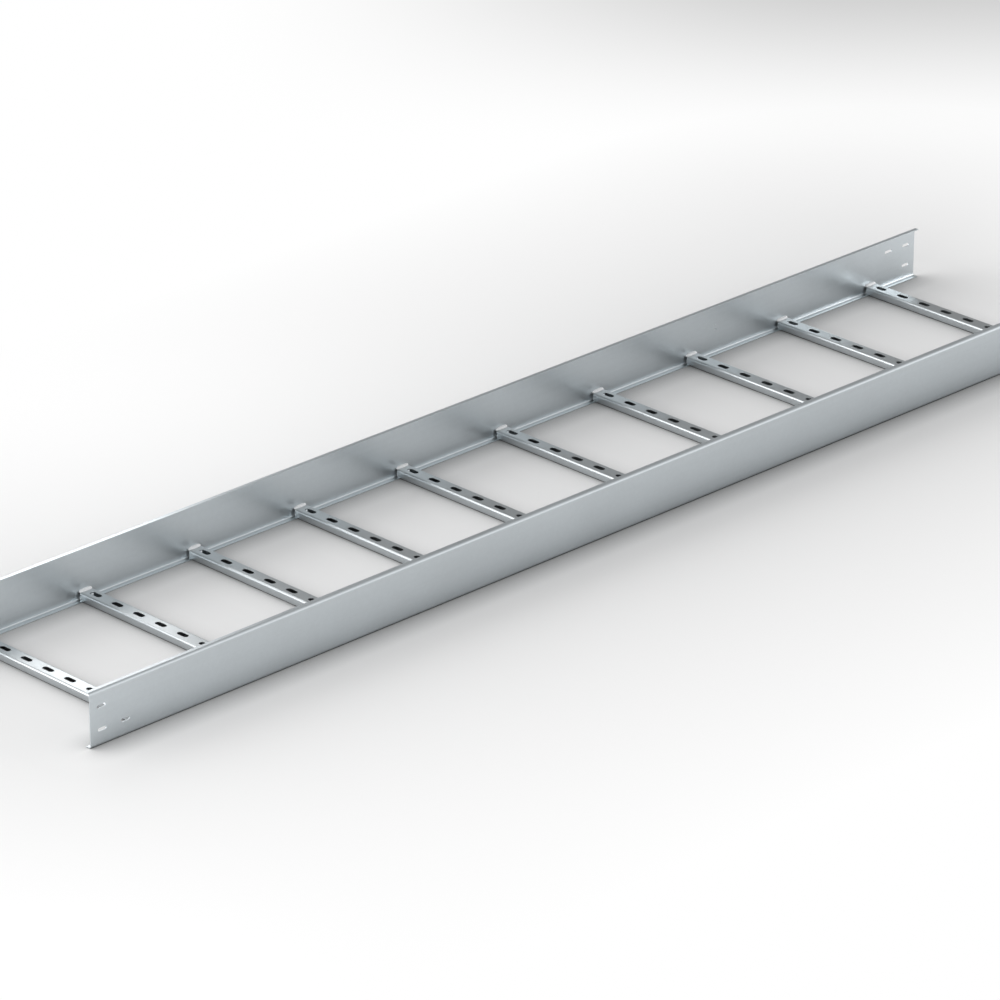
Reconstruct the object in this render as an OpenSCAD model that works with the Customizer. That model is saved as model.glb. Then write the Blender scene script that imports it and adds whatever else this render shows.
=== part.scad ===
// Cable ladder section.
// Two roll-formed side rails face each other with their flanges turned in.
// Ten slotted rungs of folded sheet lie on the lower flanges between them.
// A weld bead joins the top of each rung end to the web of its rail.
// The frame: X runs along the ladder, Y across it and Z up.
// The origin is the middle of the ladder's footprint on the floor.

/* [Ladder] */
// Length of the section
section_length = 3000; // [1200:300:6000]
// Clear width between the webs of the two rails
clear_width = 536; // [200:1:900]
// Distance from one rung to the next
rung_pitch = 300; // [150:10:450]

/* [Side rails] */
// Height of a rail
rail_height = 120; // [80:1:200]
// Width of a rail's flanges, measured over the web
rail_flange = 14; // [12:0.5:40]
// Thickness of the rail's sheet
rail_sheet = 2; // [1.2:0.1:3]
// Inside radius of the rail's bends
rail_bend = 4; // [1:0.25:6]

/* [Splice slots] */
// Length of a splice slot, end to end
splice_slot_length = 22; // [14:1:30]
// Width of a splice slot
splice_slot_width = 7; // [6:0.5:13]
// Distance from the rail's end to the middle of the first slots
splice_first = 30; // [20:1:60]
// Distance between slots along the rail
splice_run = 60; // [35:1:90]
// Distance between slots up the rail
splice_rise = 50; // [20:1:60]

/* [Rungs] */
// Width of a rung, measured along the ladder
rung_width = 38; // [30:1:60]
// Height of a rung
rung_height = 17; // [12:0.5:40]
// Thickness of the rung's sheet
rung_sheet = 1.5; // [1:0.1:3]
// Inside radius of the rung's bends
rung_bend = 3.5; // [1:0.25:5]
// Clearance between a rung's end and the start of the rail's bend
rung_end_clearance = 0.5; // [0.2:0.1:2]

/* [Rung slots] */
// Length of a rung slot, end to end
rung_slot_length = 30; // [16:1:45]
// Width of a rung slot
rung_slot_width = 13; // [7:0.5:16]
// Distance from one rung slot to the next
rung_slot_pitch = 67; // [50:1:100]
// Least metal between the last slot and the rung's end
rung_slot_edge = 10; // [6:1:30]

/* [Weld beads] */
// Radius of the quarter-round bead on each rung end
bead_radius = 6; // [5:0.25:8]
// Distance the bead stops short of each side of the rung
bead_margin = 2; // [0.5:0.25:5]

/* [Hidden] */
// Small overshoot that lets a cutter pass clean through a face
over = 1;
overall_width = clear_width + 2 * rail_sheet;
rail_bend_outer = rail_bend + rail_sheet;
rung_bend_outer = rung_bend + rung_sheet;
end_gap = rail_bend + rung_end_clearance;
rung_length = clear_width - 2 * end_gap;
rung_top = rail_sheet + rung_height;
rung_count = floor(section_length / rung_pitch);
first_rung = -(rung_count - 1) * rung_pitch / 2;
slot_room = rung_length - rung_slot_length - 2 * rung_slot_edge;
slots_per_rung = floor(slot_room / rung_slot_pitch) + 1;
first_slot = -(slots_per_rung - 1) * rung_slot_pitch / 2;
bead_straight = rung_width - 2 * bead_margin - 2 * bead_radius;
galvanised = "#b4babd";
rung_shade = "#c3c8ca";
weld_shade = "#dfe2e3";
$fn = 64;

RUNG_NODES = [for (number = [1:rung_count]) str("rung_", number)];

// A slot with round ends along X that cuts down through Z = 0.
module slot_cutter(slot_length, slot_width, cut_depth) {
  straight = slot_length - slot_width;
  translate([-straight / 2, -slot_width / 2, -cut_depth / 2])
    cube([straight, slot_width, cut_depth]);
  for (side = [-1, 1])
    translate([side * straight / 2, 0, 0])
      cylinder(h = cut_depth, d = slot_width, center = true);
}

// A rectangle whose two corners on the side x = 0 are rounded.
module two_round_corners(wide, tall, radius) {
  translate([radius, 0])
    square([wide - radius, tall]);
  translate([0, radius])
    square([radius, tall - 2 * radius]);
  for (level = [radius, tall - radius])
    translate([radius, level])
      circle(r = radius);
}

// Cross-section of a rail: the web at x = 0 and both flanges towards +x.
module rail_section() {
  difference() {
    two_round_corners(rail_flange, rail_height, rail_bend_outer);
    translate([rail_sheet, rail_sheet])
      two_round_corners(rail_flange, rail_height - 2 * rail_sheet, rail_bend);
  }
}

// The three slots for a splice plate at the left end of a rail's web: two low and one high.
module splice_slots() {
  for (spot = [[0, -1], [1, -1], [0, 1]])
    translate([splice_first + spot[0] * splice_run, 0, rail_height / 2 + spot[1] * splice_rise / 2])
      rotate([90, 0, 0])
        slot_cutter(splice_slot_length, splice_slot_width, 2 * rail_sheet + 2 * over);
}

// One rail with its web's outer face on the plane Y = 0 and its flanges towards +Y.
module side_rail() {
  difference() {
    translate([-section_length / 2, 0, 0])
      rotate([90, 0, 90])
        linear_extrude(height = section_length)
          rail_section();
    for (side = [0, 1])
      mirror([side, 0, 0])
        translate([-section_length / 2, 0, 0])
          splice_slots();
  }
}

module near_side_rail() {
  color(galvanised)
    translate([0, -overall_width / 2, 0])
      side_rail();
}

// The same rail turned over about the ladder's long axis, so its two low slots lie high.
module far_side_rail() {
  color(galvanised)
    translate([0, 0, rail_height])
      rotate([180, 0, 0])
        translate([0, -overall_width / 2, 0])
          side_rail();
}

// Cross-section of a rung: a channel open at the bottom, its walls standing on y = 0.
module rung_section() {
  inner_width = rung_width - 2 * rung_sheet;
  difference() {
    channel_outline(rung_width, rung_height, rung_bend_outer);
    translate([0, -over])
      channel_outline(inner_width, rung_height - rung_sheet + over, rung_bend);
  }
}

// A rectangle centred on x = 0 whose two top corners are rounded.
module channel_outline(wide, tall, radius) {
  translate([-wide / 2, 0])
    square([wide, tall - radius]);
  translate([-wide / 2 + radius, 0])
    square([wide - 2 * radius, tall]);
  for (side = [-1, 1])
    translate([side * (wide / 2 - radius), tall - radius])
      circle(r = radius);
}

// One rung, numbered from the left end of the ladder.
module rung(number) {
  color(rung_shade)
    translate([first_rung + (number - 1) * rung_pitch, 0, rail_sheet])
      difference() {
        translate([0, rung_length / 2, 0])
          rotate([90, 0, 0])
            linear_extrude(height = rung_length)
              rung_section();
        for (place = [0:slots_per_rung - 1])
          translate([0, first_slot + place * rung_slot_pitch, rung_height])
            rotate([0, 0, 90])
              slot_cutter(rung_slot_length, rung_slot_width, 2 * rung_sheet + 2 * over);
      }
}

// One bead along X, in the corner between a web at y = 0 and a rung's top at z = 0.
module weld_bead() {
  intersection() {
    union() {
      rotate([0, 90, 0])
        cylinder(h = bead_straight, r = bead_radius, center = true);
      for (side = [-1, 1])
        translate([side * bead_straight / 2, 0, 0])
          sphere(r = bead_radius);
    }
    translate([-rung_width / 2, 0, 0])
      cube([rung_width, bead_radius + over, bead_radius + over]);
  }
  // The root fills the gap between the rung's end and the web.
  translate([-bead_straight / 2, 0, -rung_sheet])
    cube([bead_straight, end_gap, rung_sheet + bead_radius / 4]);
}

module weld_beads() {
  color(weld_shade)
    for (place = [0:rung_count - 1])
      for (side = [0, 1])
        mirror([0, side, 0])
          translate([first_rung + place * rung_pitch, -clear_width / 2, rung_top])
            weld_bead();
}

near_side_rail();
far_side_rail();
for (number = [1:rung_count])
  rung(number);
weld_beads();
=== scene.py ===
# %% [markdown]
# # A cable ladder section
# A cable ladder carries heavy cables through a building. Two steel side rails run along it,
# and slotted rungs are welded between them like the rungs of a ladder laid flat.
# This lesson dresses the measured model of one section: each piece is modelled again with
# its folds, punched slots and weld beads, and then gets the finish of galvanised sheet.
# Everything is in metres. X runs along the ladder, Y across it and Z up.

import math

import bmesh
import bpy
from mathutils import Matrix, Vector


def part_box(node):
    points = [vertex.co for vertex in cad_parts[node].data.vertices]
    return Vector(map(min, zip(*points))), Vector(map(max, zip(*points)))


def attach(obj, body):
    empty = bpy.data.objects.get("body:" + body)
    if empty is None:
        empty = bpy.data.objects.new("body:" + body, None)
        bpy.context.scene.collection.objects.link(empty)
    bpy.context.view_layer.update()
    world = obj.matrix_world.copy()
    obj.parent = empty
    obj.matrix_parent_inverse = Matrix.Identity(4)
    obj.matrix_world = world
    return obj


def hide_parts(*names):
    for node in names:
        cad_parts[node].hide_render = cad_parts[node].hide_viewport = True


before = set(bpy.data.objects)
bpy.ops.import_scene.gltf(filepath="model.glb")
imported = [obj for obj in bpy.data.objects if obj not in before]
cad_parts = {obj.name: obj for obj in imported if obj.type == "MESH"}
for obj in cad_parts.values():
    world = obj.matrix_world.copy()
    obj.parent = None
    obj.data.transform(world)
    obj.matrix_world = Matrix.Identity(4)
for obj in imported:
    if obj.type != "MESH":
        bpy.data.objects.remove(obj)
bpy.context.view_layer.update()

# %% [markdown]
# ## The camera
# A long lens far away keeps the two rails nearly parallel, as in a catalogue picture.
# The camera could be placed by eye, but a target, a distance and two angles are easier to
# change: the direction from the target back to the camera is worked out from the angles.

# %% Camera
VIEW_TURN = math.radians(-44.453)
VIEW_RISE = math.radians(24.028)
VIEW_DISTANCE = 12.439
VIEW_TARGET = Vector((-0.12303, -0.00609, 0.019))
SENSOR_WIDTH = 36
LENS_LENGTH = 210.24
FARTHEST_SEEN = 200

level_back = Vector((math.sin(VIEW_TURN), -math.cos(VIEW_TURN), 0))
back = level_back * math.cos(VIEW_RISE) + Vector((0, 0, math.sin(VIEW_RISE)))
bpy.ops.object.camera_add(
    location=VIEW_TARGET + back * VIEW_DISTANCE,
    rotation=(math.pi / 2 - VIEW_RISE, 0, VIEW_TURN),
)
camera = bpy.context.object
camera.data.sensor_width = SENSOR_WIDTH
camera.data.lens = LENS_LENGTH
camera.data.clip_end = FARTHEST_SEEN
bpy.context.scene.camera = camera
print("camera at", [round(value, 3) for value in camera.location])

# %% [markdown]
# ## Sizes
# Lengths and places come from the measured boxes of the CAD nodes, so the dressed pieces
# land exactly on them. Only what a box can't tell is written here: the thickness of the
# sheet, the radius of its folds, and the size and spacing of the slots.

# %% Sizes
RAIL_SHEET = 0.002
RAIL_FOLD = 0.006
RUNG_SHEET = 0.0015
RUNG_FOLD = 0.005
FOLD_STEPS = 12

RUNG_SLOT_LENGTH = 0.030
RUNG_SLOT_WIDTH = 0.013
RUNG_SLOT_STEP = 0.067
RUNG_SLOT_COUNT = 8

SPLICE_SLOT_LENGTH = 0.022
SPLICE_SLOT_WIDTH = 0.007
SPLICE_FIRST = 0.030
SPLICE_RUN = 0.060
SPLICE_RISE = 0.050

rail_low, rail_high = (Vector(corner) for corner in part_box("near_side_rail"))
rail_height = rail_high.z - rail_low.z
rail_flange = rail_high.y - rail_low.y
section_length = rail_high.x - rail_low.x
rung_names = sorted((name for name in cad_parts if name.startswith("rung_")),
                    key=lambda name: int(name.split("_")[1]))
print("rail:", section_length, "x", rail_flange, "x", rail_height, "and", len(rung_names), "rungs")

# %% [markdown]
# ## Working in edit mode
# Each piece is shaped as by hand: something is selected, then an operator acts on it.
# Without a mouse, edges are chosen by a test on the places of their ends.

# %% Selecting
SAME_PLACE = 1e-5


def near(value, wanted):
    return abs(value - wanted) < SAME_PLACE


def deselect_all():
    bpy.ops.object.select_all(action="DESELECT")


def make_active(piece):
    deselect_all()
    piece.select_set(True)
    bpy.context.view_layer.objects.active = piece


def open_edit_mode(piece):
    make_active(piece)
    bpy.ops.object.mode_set(mode="EDIT")
    bpy.ops.mesh.select_mode(type="EDGE")
    bpy.ops.mesh.select_all(action="DESELECT")


def close_edit_mode():
    bpy.ops.object.mode_set(mode="OBJECT")


def pick_edges(piece, passes):
    """Selects the edges whose two ends both pass the test, and no others."""
    shape = bmesh.from_edit_mesh(piece.data)
    for edge in shape.edges:
        edge.select_set(all(passes(corner.co) for corner in edge.verts))
    bmesh.update_edit_mesh(piece.data)


def keep_longest_edges(piece):
    """Keeps only those of the selected edges that are as long as the longest of them."""
    shape = bmesh.from_edit_mesh(piece.data)
    chosen = [edge for edge in shape.edges if edge.select]
    longest = max(edge.calc_length() for edge in chosen)
    for edge in chosen:
        edge.select_set(near(edge.calc_length(), longest))
    bmesh.update_edit_mesh(piece.data)


def apply_modifier(piece, kind, **settings):
    """Adds one modifier with its settings and makes it part of the mesh at once."""
    make_active(piece)
    modifier = piece.modifiers.new(kind.title(), kind)
    for setting, value in settings.items():
        setattr(modifier, setting, value)
    bpy.ops.object.modifier_apply(modifier=modifier.name)


def set_in_place(piece):
    """Leaves the object at the origin, unturned and unscaled, with its place in its mesh."""
    make_active(piece)
    bpy.ops.object.transform_apply(location=True, rotation=True, scale=True)

# %% [markdown]
# ## Sheet from a plane
# Folded sheet metal starts as a flat blank. A plane stands for the outer skin of the blank,
# because the outer skin is what gets measured. It is stretched to size in edit mode, so the
# object itself keeps a scale of one.

# %% A flat blank
def flat_blank(name, middle, turn, stretch):
    deselect_all()
    bpy.ops.mesh.primitive_plane_add(size=1, location=middle, rotation=turn)
    blank = bpy.context.object
    blank.name = name
    blank.data.name = name
    set_in_place(blank)
    open_edit_mode(blank)
    bpy.ops.mesh.select_all(action="SELECT")
    bpy.ops.transform.resize(value=stretch, center_override=middle)
    close_edit_mode()
    return blank

# %% [markdown]
# ## Slot punches
# A punched slot is a rectangle with round ends. Its punch starts as a cylinder, whose two
# halves are pulled apart. The cylinder is turned by half a step first, so that no corner
# lies on the line between its halves.

# %% Slot punch
PUNCH_SIDES = 40
PUNCH_DEPTH = 0.012


def slot_punch(middle, length, width, along):
    """A punch through `middle`: its slot runs along Y in a flat sheet, or along X in a wall."""
    deselect_all()
    bpy.ops.mesh.primitive_cylinder_add(
        vertices=PUNCH_SIDES, radius=width / 2, depth=PUNCH_DEPTH,
        rotation=(0, 0, math.pi / PUNCH_SIDES))
    punch = bpy.context.object
    set_in_place(punch)
    open_edit_mode(punch)
    for side in (-1, 1):
        pick_edges(punch, lambda corner: corner.x * side > 0)
        bpy.ops.transform.translate(value=(side * (length - width) / 2, 0, 0))
    close_edit_mode()
    quarter_turn = math.pi / 2
    turns = {"Y": (0, 0, quarter_turn), "X on a wall": (quarter_turn, 0, 0)}
    punch.rotation_euler = turns[along]
    punch.location = middle
    set_in_place(punch)
    return punch


def punch_slots(piece, punches):
    make_active(punches[0])
    for punch in punches:
        punch.select_set(True)
    bpy.ops.object.join()
    apply_modifier(piece, "BOOLEAN", operation="DIFFERENCE", object=punches[0], solver="EXACT")
    bpy.data.objects.remove(punches[0], do_unlink=True)

# %% [markdown]
# ## Softened edges
# Sheared and punched steel never has a perfectly sharp edge: the die drags it round a little,
# and hot zinc rounds it further. A narrow bevel on every sharp edge catches the light there.
# Weighted normals keep the wide faces flat while the folds beside them shade smoothly.

# %% Softening and checking
SHARP_ANGLE = math.radians(40)
RAIL_EDGE = 0.0004
RUNG_EDGE = 0.0003
CM3_IN_M3 = 1e6


def soften(piece, width):
    apply_modifier(piece, "BEVEL", width=width, segments=2, limit_method="ANGLE",
                   angle_limit=SHARP_ANGLE, use_clamp_overlap=True)
    make_active(piece)
    bpy.ops.object.shade_smooth_by_angle(angle=SHARP_ANGLE)
    apply_modifier(piece, "WEIGHTED_NORMAL", keep_sharp=True, weight=100)


def report_shape(piece):
    shape = bmesh.new()
    shape.from_mesh(piece.data)
    open_edges = sum(1 for edge in shape.edges if len(edge.link_faces) != 2)
    faces = len(shape.faces)
    volume = shape.calc_volume(signed=True) * CM3_IN_M3
    shape.free()
    print(f"{piece.name}: {faces} faces, {open_edges} open edges, {volume:.1f} cm3")

# %% [markdown]
# ## Side rails
# A rail is one strip, roll-formed into a channel: a tall web with a narrow flange along its
# top and bottom, both turned in towards the rungs. It could be swept from a cross-section.
# Here the web is a plane, the flanges are extruded from its long edges, and the two folds
# are bevelled round, because that is also the order in which the strip is formed.

# %% Near side rail
def fold_rail():
    outer = rail_low.y
    middle = Vector((0, outer, (rail_low.z + rail_high.z) / 2))
    rail = flat_blank("near_rail", middle, (math.pi / 2, 0, 0), (section_length, 1, rail_height))
    open_edit_mode(rail)
    for level in (rail_low.z, rail_high.z):
        pick_edges(rail, lambda corner: near(corner.z, level) and near(corner.y, outer))
        bpy.ops.mesh.extrude_region_move(TRANSFORM_OT_translate={"value": (0, rail_flange, 0)})
    pick_edges(rail, lambda corner: near(corner.y, outer))
    keep_longest_edges(rail)
    bpy.ops.mesh.bevel(offset=RAIL_FOLD, segments=FOLD_STEPS, profile=0.5, affect="EDGES")
    close_edit_mode()
    apply_modifier(rail, "SOLIDIFY", thickness=RAIL_SHEET, offset=-1, use_even_offset=True)
    return rail


near_rail = fold_rail()
report_shape(near_rail)

# %% [markdown]
# ## Splice slots and the far rail
# The rails of two sections are joined by a splice plate, bolted through three slots at each
# end of a rail: two low on the web and one above the first. The far rail is the same rail
# turned over about the ladder's long axis, so its pair of slots ends up high on the web.
# A copy that is turned keeps its faces outwards, where a mirrored one would not.

# %% Splice slots
punches = []
for end in (-1, 1):
    for along, level in ((0, -1), (1, -1), (0, 1)):
        place = Vector((
            end * (section_length / 2 - SPLICE_FIRST - along * SPLICE_RUN),
            rail_low.y,
            rail_height / 2 + level * SPLICE_RISE / 2))
        punches.append(slot_punch(place, SPLICE_SLOT_LENGTH, SPLICE_SLOT_WIDTH, "X on a wall"))
punch_slots(near_rail, punches)
soften(near_rail, RAIL_EDGE)
report_shape(near_rail)


def turned_copy(piece, name, angle, axis, middle):
    make_active(piece)
    bpy.ops.object.duplicate(linked=False)
    copy = bpy.context.object
    copy.name = name
    copy.data.name = name
    open_edit_mode(copy)
    bpy.ops.mesh.select_all(action="SELECT")
    bpy.ops.transform.rotate(value=angle, orient_axis=axis, center_override=middle)
    close_edit_mode()
    return copy


far_rail = turned_copy(near_rail, "far_rail", math.pi, "X", (0, 0, rail_height / 2))
report_shape(far_rail)

# %% [markdown]
# ## Rungs
# A rung is a strip folded down along both sides, so that it is a channel open at the bottom.
# The row of slots takes cable ties and the bolts of cleats. All ten rungs are alike: one is
# folded and punched, then copied to its nine other places, each copy with its own mesh.

# %% First rung
rung_boxes = {name: [Vector(corner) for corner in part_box(name)] for name in rung_names}
rung_low, rung_high = rung_boxes[rung_names[0]]
rung_middle = (rung_low + rung_high) / 2
rung_size = rung_high - rung_low


def fold_rung():
    top = Vector((rung_middle.x, 0, rung_high.z))
    rung = flat_blank(rung_names[0] + "_sheet", top, (0, 0, 0), (rung_size.x, rung_size.y, 1))
    open_edit_mode(rung)
    pick_edges(rung, lambda corner: True)
    keep_longest_edges(rung)
    bpy.ops.mesh.extrude_region_move(TRANSFORM_OT_translate={"value": (0, 0, -rung_size.z)})
    pick_edges(rung, lambda corner: near(corner.z, rung_high.z))
    keep_longest_edges(rung)
    bpy.ops.mesh.bevel(offset=RUNG_FOLD, segments=FOLD_STEPS, profile=0.5, affect="EDGES")
    close_edit_mode()
    apply_modifier(rung, "SOLIDIFY", thickness=RUNG_SHEET, offset=-1, use_even_offset=True)
    first_slot = -(RUNG_SLOT_COUNT - 1) / 2 * RUNG_SLOT_STEP
    punch_slots(rung, [
        slot_punch(top + Vector((0, first_slot + place * RUNG_SLOT_STEP, 0)),
                   RUNG_SLOT_LENGTH, RUNG_SLOT_WIDTH, "Y")
        for place in range(RUNG_SLOT_COUNT)])
    soften(rung, RUNG_EDGE)
    return rung


first_rung = fold_rung()
report_shape(first_rung)

# %% Nine more rungs
def moved_copy(piece, name, step):
    make_active(piece)
    bpy.ops.object.duplicate(linked=False)
    copy = bpy.context.object
    copy.name = name
    copy.data.name = name
    bpy.ops.transform.translate(value=step)
    set_in_place(copy)
    return copy


rungs = {rung_names[0]: first_rung}
for name in rung_names[1:]:
    step = rung_boxes[name][0] - rung_low
    rungs[name] = moved_copy(first_rung, name + "_sheet", step)
print("rungs:", len(rungs), "with", RUNG_SLOT_COUNT, "slots each")

# %% [markdown]
# ## Weld beads
# A bead joins the top of each rung end to the web. A hand-made weld isn't a smooth rod: the
# pool freezes in small overlapping ripples. The bead is drawn ring by ring from a small disc,
# extruded and resized at each step, so the ripples are real and show on its outline.
# Two bisects then cut it flush with the web and just below the top of the rung.

# %% One bead
BEAD_RADIUS = 0.0056
BEAD_LENGTH = 0.033
BEAD_SIDES = 28
RIPPLE_COUNT = 13
RIPPLE_RINGS = 4
RIPPLE_DEPTH = 0.09
RIPPLE_BEND = 1.6
END_SIZE = 0.30
END_BLUNTNESS = 3.2
ROOT_DEPTH = 0.8 * RUNG_SHEET
web_inside = rail_low.y + RAIL_SHEET


def bead_ring_radius(share):
    """The radius of the bead at a share of its length, with round ends and saw-tooth ripples."""
    body = (1 - abs(2 * share - 1) ** END_BLUNTNESS) ** 0.5
    ripple = (share * RIPPLE_COUNT) % 1
    size = END_SIZE + (1 - END_SIZE) * body
    return BEAD_RADIUS * size * (1 - RIPPLE_DEPTH * ripple ** RIPPLE_BEND)


def draw_bead():
    corner = Vector((rung_middle.x - BEAD_LENGTH / 2, web_inside, rung_high.z))
    deselect_all()
    bpy.ops.mesh.primitive_circle_add(
        vertices=BEAD_SIDES, radius=bead_ring_radius(0), fill_type="NGON",
        location=corner, rotation=(0, -math.pi / 2, 0))
    bead = bpy.context.object
    set_in_place(bead)
    open_edit_mode(bead)
    bpy.ops.mesh.select_all(action="SELECT")
    rings = RIPPLE_COUNT * RIPPLE_RINGS
    step = BEAD_LENGTH / rings
    for ring in range(1, rings + 1):
        bpy.ops.mesh.extrude_region_move(TRANSFORM_OT_translate={"value": (step, 0, 0)})
        grow = bead_ring_radius(ring / rings) / bead_ring_radius((ring - 1) / rings)
        centre = corner + Vector((ring * step, 0, 0))
        bpy.ops.transform.resize(value=(1, grow, grow), center_override=centre)
    for place, outwards in (
            (Vector((0, web_inside, 0)), (0, -1, 0)),
            (Vector((0, 0, rung_high.z - ROOT_DEPTH)), (0, 0, -1))):
        bpy.ops.mesh.select_all(action="SELECT")
        bpy.ops.mesh.bisect(plane_co=place, plane_no=outwards, use_fill=True, clear_outer=True)
    bpy.ops.mesh.select_all(action="SELECT")
    bpy.ops.mesh.normals_make_consistent(inside=False)
    close_edit_mode()
    return bead


first_bead = draw_bead()
report_shape(first_bead)

# %% All the beads
UNEVEN_SIZE = 0.012
UNEVEN_DEPTH = 0.0012
BEAD_SHARP_ANGLE = math.radians(60)

beads = [first_bead]
for name in rung_names[1:]:
    beads.append(moved_copy(first_bead, "bead", rung_boxes[name][0] - rung_low))
for bead in list(beads):
    middle = (sum(corner.co.x for corner in bead.data.vertices) / len(bead.data.vertices), 0, 0)
    beads.append(turned_copy(bead, "bead", math.pi, "Z", middle))
make_active(beads[0])
for bead in beads:
    bead.select_set(True)
bpy.ops.object.join()
weld = bpy.context.object
weld.name = "weld_metal"
weld.data.name = "weld_metal"

unevenness = bpy.data.textures.new("uneven_weld", "CLOUDS")
unevenness.noise_scale = UNEVEN_SIZE
apply_modifier(weld, "DISPLACE", texture=unevenness, strength=UNEVEN_DEPTH, mid_level=0.5,
               texture_coords="LOCAL")
make_active(weld)
bpy.ops.object.shade_smooth_by_angle(angle=BEAD_SHARP_ANGLE)
report_shape(weld)

# %% [markdown]
# ## Galvanised sheet
# Galvanised sheet is steel under a thin skin of zinc. It is a metal, so it has no colour of
# its own beyond a cool grey: its tone comes from what it mirrors. Three things make it look
# real: fine lines from the rolls, faint crystals in the zinc, and patches that shine more
# or less. All three are noise on Object coordinates, stretched along the sheet by a Mapping.

# %% Node helpers
def add_node(tree, kind, settings=(), values=()):
    node = tree.nodes.new(kind)
    for setting, value in dict(settings).items():
        setattr(node, setting, value)
    for socket, value in dict(values).items():
        node.inputs[socket].default_value = value
    return node


def link(tree, start, end):
    tree.links.new(start, end)


def new_material(name):
    material = bpy.data.materials.new(name)
    material.use_nodes = True
    tree = material.node_tree
    return material, tree, tree.nodes["Principled BSDF"]


def noise_on_object(tree, scale, stretch, detail, roughness=0.5):
    place = add_node(tree, "ShaderNodeTexCoord")
    mapping = add_node(tree, "ShaderNodeMapping", values={"Scale": stretch})
    noise = add_node(tree, "ShaderNodeTexNoise",
                     values={"Scale": scale, "Detail": detail, "Roughness": roughness})
    link(tree, place.outputs["Object"], mapping.inputs["Vector"])
    link(tree, mapping.outputs["Vector"], noise.inputs["Vector"])
    return noise.outputs["Fac"]


def spread(tree, value, low, high, start=0.3, end=0.7):
    """Maps the middle of a noise to the range from low to high."""
    node = add_node(tree, "ShaderNodeMapRange", values={
        "From Min": start, "From Max": end, "To Min": low, "To Max": high})
    link(tree, value, node.inputs["Value"])
    return node.outputs["Result"]


def combine(tree, operation, first, second):
    node = add_node(tree, "ShaderNodeMath", {"operation": operation})
    for socket, value in ((0, first), (1, second)):
        if isinstance(value, (int, float)):
            node.inputs[socket].default_value = value
        else:
            link(tree, value, node.inputs[socket])
    return node.outputs["Value"]

# %% Zinc on rails and rungs
RAIL_TONE = (0.635, 0.68, 0.705)
RUNG_TONE = (0.54, 0.57, 0.585)
ZINC_ROUGHNESS = 0.34
ALONG_RAIL = (0.12, 14, 14)
ALONG_RUNG = (14, 0.12, 14)
EVEN = (1, 1, 1)
STREAKS = 9
PATCHES = 6
CRYSTALS = 140
GRAIN = 500


def zinc_sheet(name, tone, roughness, streak_stretch):
    material, tree, shader = new_material(name)
    streaks = noise_on_object(tree, STREAKS, streak_stretch, 3)
    patches = noise_on_object(tree, PATCHES, EVEN, 2)
    place = add_node(tree, "ShaderNodeTexCoord")
    crystals = add_node(tree, "ShaderNodeTexVoronoi", values={"Scale": CRYSTALS})
    link(tree, place.outputs["Object"], crystals.inputs["Vector"])
    crystal_tone = add_node(tree, "ShaderNodeSeparateColor")
    link(tree, crystals.outputs["Color"], crystal_tone.inputs["Color"])

    shade = combine(tree, "ADD", spread(tree, streaks, -0.012, 0.012),
                    spread(tree, crystal_tone.outputs["Red"], -0.010, 0.010, 0, 1))
    shade = combine(tree, "ADD", shade, spread(tree, patches, -0.015, 0.015))
    shade = combine(tree, "ADD", shade, 1)
    colour = add_node(tree, "ShaderNodeVectorMath", {"operation": "SCALE"},
                      {0: tone})
    link(tree, shade, colour.inputs["Scale"])
    link(tree, colour.outputs["Vector"], shader.inputs["Base Color"])

    dull = combine(tree, "ADD", spread(tree, patches, roughness - 0.03, roughness + 0.03),
                   spread(tree, streaks, -0.02, 0.02))
    dull = combine(tree, "ADD", dull,
                   spread(tree, crystal_tone.outputs["Green"], -0.02, 0.02, 0, 1))
    link(tree, dull, shader.inputs["Roughness"])

    grain = noise_on_object(tree, GRAIN, EVEN, 2)
    relief = combine(tree, "ADD", combine(tree, "MULTIPLY", streaks, 0.6),
                     combine(tree, "MULTIPLY", grain, 0.4))
    bump = add_node(tree, "ShaderNodeBump", values={"Strength": 0.12, "Distance": 0.0004})
    link(tree, relief, bump.inputs["Height"])
    link(tree, bump.outputs["Normal"], shader.inputs["Normal"])
    shader.inputs["Metallic"].default_value = 1
    return material


rail_zinc = zinc_sheet("rail_zinc", RAIL_TONE, ZINC_ROUGHNESS, ALONG_RAIL)
rung_zinc = zinc_sheet("rung_zinc", RUNG_TONE, ZINC_ROUGHNESS, ALONG_RUNG)
print("zinc finishes:", rail_zinc.name, rung_zinc.name)

# %% [markdown]
# ## Painted highlight on the welds
# The weld beads catch a bright glint where they meet the web. Their near-white colour is a
# painted highlight that stands in for that glint. The shader is only a little metallic and
# rough, so the beads look duller than the sheet, and a coarse bump keeps their surface uneven.

# %% Weld highlight
WELD_HIGHLIGHT_TONE = (0.93, 0.94, 0.95)
WELD_METALLIC = 0.25
WELD_LUMPS = 260


def pale_weld_highlight():
    material, tree, shader = new_material("pale_weld_highlight")
    clumps = noise_on_object(tree, WELD_LUMPS, EVEN, 4, 0.6)
    # The near-white tone is a painted highlight that stands in for the glint on the beads.
    tone = add_node(tree, "ShaderNodeVectorMath", {"operation": "SCALE"}, {0: WELD_HIGHLIGHT_TONE})
    link(tree, spread(tree, clumps, 0.90, 1.05), tone.inputs["Scale"])
    link(tree, tone.outputs["Vector"], shader.inputs["Base Color"])
    link(tree, spread(tree, clumps, 0.36, 0.52), shader.inputs["Roughness"])
    bump = add_node(tree, "ShaderNodeBump", values={"Strength": 0.35, "Distance": 0.0005})
    link(tree, clumps, bump.inputs["Height"])
    link(tree, bump.outputs["Normal"], shader.inputs["Normal"])
    shader.inputs["Metallic"].default_value = WELD_METALLIC
    return material


weld_highlight = pale_weld_highlight()
print("weld finish:", weld_highlight.name)

# %% [markdown]
# ## Putting the pieces on the frame
# Every dressed piece rides on the one body, names the finish that it takes, and stands for
# the CAD node of the same part.

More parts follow.
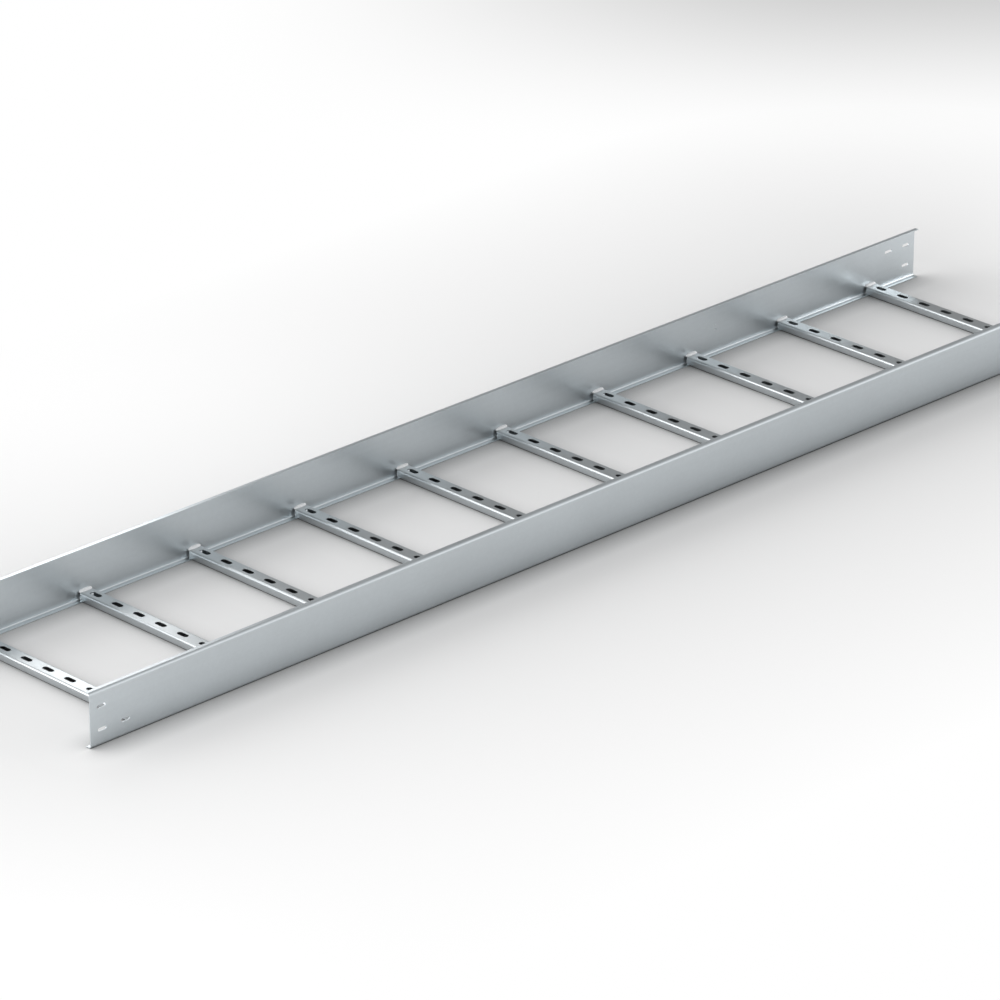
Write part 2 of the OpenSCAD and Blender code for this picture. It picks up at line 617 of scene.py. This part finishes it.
# %% Dress the frame
def dress(piece, node, material):
    piece.data.materials.clear()
    piece.data.materials.append(material)
    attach(piece, "root")
    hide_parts(node)


dress(near_rail, "near_side_rail", rail_zinc)
dress(far_rail, "far_side_rail", rail_zinc)
for name, rung in rungs.items():
    dress(rung, name, rung_zinc)
dress(weld, "weld_beads", weld_highlight)
print("dressed pieces:", len((near_rail, far_rail, weld)) + len(rungs))

# %% [markdown]
# ## Floor
# The section lies on a wide pale floor. Three things shape its tone. Close to the steel its
# colour is darkened, a painted shade that an Ambient Occlusion node spreads from the shapes
# around each spot. Further off it turns white, and far behind to the right it greys again, a
# painted shade like that of a paper backdrop that leaves the light. The white is shown to the
# camera and in reflections only, as light of strength one, so the floor doesn't light the steel as
# a lamp would.

# %% Floor
FLOOR_SIZE = 80
FLOOR_TONE = 0.865
WHITE_STARTS = 0.12
WHITE_FULL = 1.15
WHITE_CURVE = 0.8
SHADE_REACH = 0.075
SHADE_SAMPLES = 12
BACKDROP_START = 2.1
BACKDROP_END = 3.6
BACKDROP_SIDE = 0.9
BACKDROP_GREY = 0.58
FLOOR_ROUGHNESS = 0.9
FLOOR_SHINE = 0.2


def distance_past(tree, coordinate, edge):
    """How far a coordinate lies outside the ladder's edge, and nothing inside it."""
    away = combine(tree, "SUBTRACT", combine(tree, "ABSOLUTE", coordinate, 0), edge)
    return combine(tree, "MAXIMUM", away, 0)


def smooth_range(tree, value, start, end):
    """Rises smoothly from nothing at the start to one at the end."""
    node = add_node(tree, "ShaderNodeMapRange", {"interpolation_type": "SMOOTHSTEP"}, {
        "From Min": start, "From Max": end})
    link(tree, value, node.inputs["Value"])
    return node.outputs["Result"]


def pale_floor():
    material, tree, shader = new_material("pale_floor")
    place = add_node(tree, "ShaderNodeTexCoord")
    axes = add_node(tree, "ShaderNodeSeparateXYZ")
    link(tree, place.outputs["Object"], axes.inputs["Vector"])
    beside = distance_past(tree, axes.outputs["Y"], -rail_low.y)
    beyond = distance_past(tree, axes.outputs["X"], section_length / 2)
    away = combine(tree, "SQRT", combine(
        tree, "ADD", combine(tree, "MULTIPLY", beside, beside),
        combine(tree, "MULTIPLY", beyond, beyond)), 0)
    whiteness = add_node(tree, "ShaderNodeMapRange", values={
        "From Min": WHITE_STARTS, "From Max": WHITE_FULL})
    link(tree, away, whiteness.inputs["Value"])
    whiteness = combine(tree, "POWER", whiteness.outputs["Result"], WHITE_CURVE)

    # Painted shade: the white glow greys far behind to the right, like a backdrop that leaves the
    # light.
    turned = add_node(tree, "ShaderNodeMapping", values={"Rotation": (0, 0, -VIEW_TURN)})
    link(tree, place.outputs["Object"], turned.inputs["Vector"])
    sight = add_node(tree, "ShaderNodeSeparateXYZ")
    link(tree, turned.outputs["Vector"], sight.inputs["Vector"])
    depth = smooth_range(tree, sight.outputs["Y"], BACKDROP_START, BACKDROP_END)
    rightwards = smooth_range(tree, sight.outputs["X"], -BACKDROP_SIDE, BACKDROP_SIDE)
    grey = combine(tree, "MULTIPLY", depth, rightwards)
    backdrop = combine(tree, "SUBTRACT", 1, combine(tree, "MULTIPLY", grey, 1 - BACKDROP_GREY))

    # Painted shade: Ambient Occlusion darkens the floor's colour close to the steel.
    shade = add_node(tree, "ShaderNodeAmbientOcclusion", {"samples": SHADE_SAMPLES},
                     {"Distance": SHADE_REACH})
    tone = combine(tree, "MULTIPLY", shade.outputs["AO"], FLOOR_TONE)
    colour = add_node(tree, "ShaderNodeCombineColor")
    for channel in ("Red", "Green", "Blue"):
        link(tree, tone, colour.inputs[channel])
    link(tree, colour.outputs["Color"], shader.inputs["Base Color"])
    shader.inputs["Roughness"].default_value = FLOOR_ROUGHNESS
    shader.inputs["Specular IOR Level"].default_value = FLOOR_SHINE

    white = add_node(tree, "ShaderNodeEmission")
    link(tree, backdrop, white.inputs["Strength"])
    path = add_node(tree, "ShaderNodeLightPath")
    seen = combine(tree, "MAXIMUM", path.outputs["Is Camera Ray"], path.outputs["Is Glossy Ray"])
    seen = combine(tree, "MAXIMUM", seen, path.outputs["Is Transmission Ray"])
    mix = add_node(tree, "ShaderNodeMixShader")
    link(tree, combine(tree, "MULTIPLY", whiteness, seen), mix.inputs["Fac"])
    link(tree, shader.outputs["BSDF"], mix.inputs[1])
    link(tree, white.outputs["Emission"], mix.inputs[2])
    link(tree, mix.outputs["Shader"], tree.nodes["Material Output"].inputs["Surface"])
    return material


deselect_all()
bpy.ops.mesh.primitive_plane_add(size=FLOOR_SIZE, location=(0, 0, rail_low.z))
floor = bpy.context.object
floor.name = "floor"
floor.data.materials.append(pale_floor())
print("floor:", FLOOR_SIZE, "m square")

# %% [markdown]
# ## Studio light
# The light comes from the air of the studio and from a few soft panels. The air is brightest
# low at the left, softer at the right and overhead, and dim behind the ladder, so the tops
# of the rungs and flanges, which mirror what lies behind, stay darker than the webs.
# Each glow is the angle between a direction and the ray, raised to a power.

# %% Studio air
AIR_LEVEL = 0.27
AIR_GLOWS = (
    # towards, sharpness, strength
    ((0, 0, 1), 4, 0.34),
    ((-0.707, 0.707, 0), 3, 3.6),
    ((0.707, -0.707, 0), 3, 1.1),
    ((0.707, 0.707, 0), 3, 0.12),
)


def studio_air():
    world = bpy.data.worlds.new("studio_air")
    world.use_nodes = True
    tree = world.node_tree
    direction = add_node(tree, "ShaderNodeTexCoord")
    total = AIR_LEVEL
    for towards, sharpness, strength in AIR_GLOWS:
        facing = add_node(tree, "ShaderNodeVectorMath", {"operation": "DOT_PRODUCT"}, {1: towards})
        link(tree, direction.outputs["Generated"], facing.inputs[0])
        glow = combine(tree, "POWER",
                       combine(tree, "MAXIMUM", facing.outputs["Value"], 0), sharpness)
        total = combine(tree, "ADD", combine(tree, "MULTIPLY", glow, strength), total)
    background = tree.nodes["Background"]
    background.inputs["Color"].default_value = (1, 1, 1, 1)
    link(tree, total, background.inputs["Strength"])
    return world


bpy.context.scene.world = studio_air()

# %% Soft panels
PANELS = (
    # name, place, aim, width, height, power
    ("near_left_panel", (-3.0, -1.6, 1.2), (-1.3, -0.1, 0), 1.2, 1.0, 20),
    ("behind_left_panel", (-0.35, 1.45, 0.95), (-1.35, 0, 0), 0.9, 0.8, 5),
    ("right_end_panel", (2.6, -0.5, 0.45), (1.4, 0.27, 0.05), 0.8, 0.5, 4.5),
)


def soft_panel(name, place, aim, width, height, power):
    facing = (Vector(place) - Vector(aim)).to_track_quat("Z", "Y").to_euler()
    deselect_all()
    bpy.ops.object.light_add(type="AREA", location=place, rotation=facing)
    panel = bpy.context.object
    panel.name = name
    panel.data.shape = "RECTANGLE"
    panel.data.size = width
    panel.data.size_y = height
    panel.data.energy = power
    panel.visible_camera = False


for panel in PANELS:
    soft_panel(*panel)
bpy.context.scene.view_settings.view_transform = "Standard"
print("panels:", len(PANELS))
